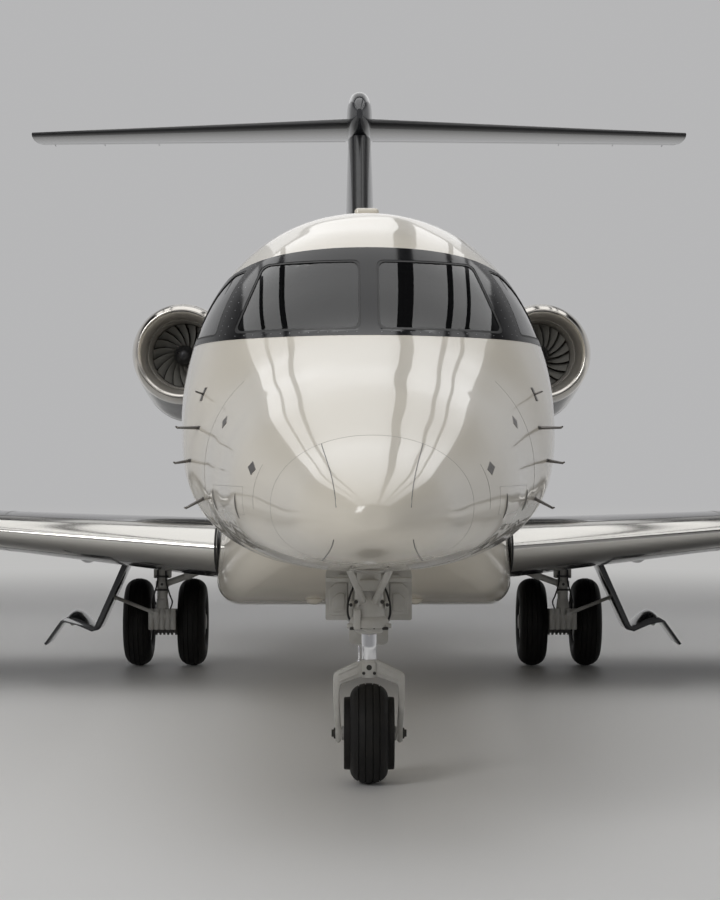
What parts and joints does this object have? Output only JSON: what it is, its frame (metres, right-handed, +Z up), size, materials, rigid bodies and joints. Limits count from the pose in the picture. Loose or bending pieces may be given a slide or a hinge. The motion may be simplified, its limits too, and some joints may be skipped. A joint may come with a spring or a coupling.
{
  "type": "business jet",
  "caption": "Light business jet with a low wing, rear engines on pylons and a T-tail, standing on its gear; wheels, fans, doors, flaps and controls move.",
  "frame": {"origin": "on the floor under the middle of the aircraft's length and span", "axes": "+X to the aircraft's left, along the span; -Y towards the nose; +Z up"},
  "size_m": [17, 16.85, 5.41],
  "materials": {
    "cream_white": "gloss",
    "cream_composite": "gloss",
    "graphite": "gloss",
    "graphite_composite": "gloss",
    "polished_edge": "polished",
    "polished_tip": "polished",
    "gear_grey": "satin",
    "chrome": "polished",
    "rubber": "matte",
    "glass": "gloss",
    "dark_metal": "satin",
    "engine_steel": "satin",
    "seat_leather": "satin",
    "cockpit_panel": "matte",
    "floor_panel": "matte"
  },
  "bodies": {
    "airframe": {"belly_fairing": "cream_composite", "cabin_floor": "floor_panel", "cabin_glass_left": "glass", "cabin_glass_right": "glass", "cabin_seats": "seat_leather", "centre_fuselage": "cream_white", "engine_core_left": "engine_steel", "engine_core_right": "engine_steel", "fin": "graphite_composite", "fin_tip_fairing": "graphite_composite", "forward_fuselage": "cream_white", "inlet_lip_left": "polished_edge", "inlet_lip_right": "polished_edge", "instrument_panel": "cockpit_panel", "main_gear_door_left": "graphite", "main_gear_door_right": "graphite", "main_gear_leg_left": "gear_grey", "main_gear_leg_right": "gear_grey", "nacelle_left": "graphite_composite", "nacelle_right": "graphite_composite", "nose_gear_door": "cream_white", "nose_gear_leg": "gear_grey", "pilot_seats": "seat_leather", "pylon_left": "graphite_composite", "pylon_right": "graphite_composite", "radome": "cream_composite", "side_window_left": "glass", "side_window_right": "glass", "tail_cone": "cream_white", "tailplane": "graphite_composite", "windshield_left": "glass", "windshield_right": "glass", "wing_leading_edge_left": "polished_edge", "wing_leading_edge_right": "polished_edge", "wing_left": "graphite", "wing_right": "graphite", "winglet_left": "polished_tip", "winglet_right": "polished_tip"},
    "nose_steering": {"nose_piston": "chrome", "nose_fork": "gear_grey"},
    "nose_wheel": {"nose_rim": "gear_grey", "nose_tyre": "rubber"},
    "cabin_door": {"cabin_door": "cream_white"},
    "cargo_door": {"cargo_door": "cream_white"},
    "rudder": {"rudder": "graphite_composite"},
    "main_wheels_left": {"main_rims_left": "gear_grey", "main_tyre_inner_left": "rubber", "main_tyre_outer_left": "rubber"},
    "fan_left": {"fan_left": "dark_metal"},
    "flap_left": {"flap_left": "graphite"},
    "aileron_left": {"aileron_left": "graphite"},
    "elevator_left": {"elevator_left": "graphite_composite"},
    "main_wheels_right": {"main_rims_right": "gear_grey", "main_tyre_inner_right": "rubber", "main_tyre_outer_right": "rubber"},
    "fan_right": {"fan_right": "dark_metal"},
    "flap_right": {"flap_right": "graphite"},
    "aileron_right": {"aileron_right": "graphite"},
    "elevator_right": {"elevator_right": "graphite_composite"}
  },
  "joints": [
    {"name": "nose_steer", "type": "hinge", "parent": "airframe", "child": "nose_steering", "pos_m": [0, -6.075, 0.65], "axis": [0, 0, 1], "range_deg": [-60, 60]},
    {"name": "nose_roll", "type": "hinge", "parent": "nose_steering", "child": "nose_wheel", "pos_m": [0, -6.075, 0.243], "axis": [1, 0, 0], "continuous": true},
    {"name": "main_roll_left", "type": "hinge", "parent": "airframe", "child": "main_wheels_left", "pos_m": [1.5, 0.325, 0.333], "axis": [1, 0, 0], "continuous": true},
    {"name": "fan_spin_left", "type": "hinge", "parent": "airframe", "child": "fan_left", "pos_m": [1.4775, 1.945, 2.445], "axis": [0, 1, 0], "continuous": true},
    {"name": "main_roll_right", "type": "hinge", "parent": "airframe", "child": "main_wheels_right", "pos_m": [-1.5, 0.325, 0.333], "axis": [1, 0, 0], "continuous": true},
    {"name": "fan_spin_right", "type": "hinge", "parent": "airframe", "child": "fan_right", "pos_m": [-1.4775, 1.945, 2.445], "axis": [0, 1, 0], "continuous": true},
    {"name": "cabin_door_hinge", "type": "hinge", "parent": "airframe", "child": "cabin_door", "pos_m": [0.694, -3.975, 1.212], "axis": [0, 1, 0], "range_deg": [0, 125]},
    {"name": "cargo_door_hinge", "type": "hinge", "parent": "airframe", "child": "cargo_door", "pos_m": [0.784, 0.75, 2.546], "axis": [0, -1, 0], "range_deg": [0, 95]},
    {"name": "rudder_hinge", "type": "hinge", "parent": "airframe", "child": "rudder", "pos_m": [0, 5.81224, 2.99], "axis": [0, 0.5826, 0.8128], "range_deg": [-25, 25]},
    {"name": "aileron_hinge_left", "type": "hinge", "parent": "airframe", "child": "aileron_left", "pos_m": [5.36, 0.21168, 1.2594], "axis": [0.9962, -0.0352, 0.0793], "range_deg": [-20, 20]},
    {"name": "aileron_hinge_right", "type": "hinge", "parent": "airframe", "child": "aileron_right", "pos_m": [-5.36, 0.21168, 1.2594], "axis": [-0.9962, -0.0352, 0.0793], "range_deg": [-20, 20]},
    {"name": "elevator_hinge_left", "type": "hinge", "parent": "airframe", "child": "elevator_left", "pos_m": [0.145, 7.4165, 5.045], "axis": [0.9935, 0.1141, 0], "range_deg": [-18, 25]},
    {"name": "elevator_hinge_right", "type": "hinge", "parent": "airframe", "child": "elevator_right", "pos_m": [-0.145, 7.4165, 5.045], "axis": [0.9935, -0.1141, 0], "range_deg": [-18, 25]},
    {"name": "flap_hinge_left", "type": "hinge", "parent": "airframe", "child": "flap_left", "pos_m": [2.05, 0.33888, 0.82536], "axis": [-0.995, 0.0393, -0.0921], "range_deg": [0, 35]},
    {"name": "flap_hinge_right", "type": "hinge", "parent": "airframe", "child": "flap_right", "pos_m": [-2.05, 0.33888, 0.82536], "axis": [-0.995, -0.0393, 0.0921], "range_deg": [0, 35]}
  ],
  "couplings": [
    {"joint": "aileron_hinge_right", "follows": "aileron_hinge_left", "ratio": 1},
    {"joint": "elevator_hinge_right", "follows": "elevator_hinge_left", "ratio": 1},
    {"joint": "flap_hinge_right", "follows": "flap_hinge_left", "ratio": 1}
  ]
}
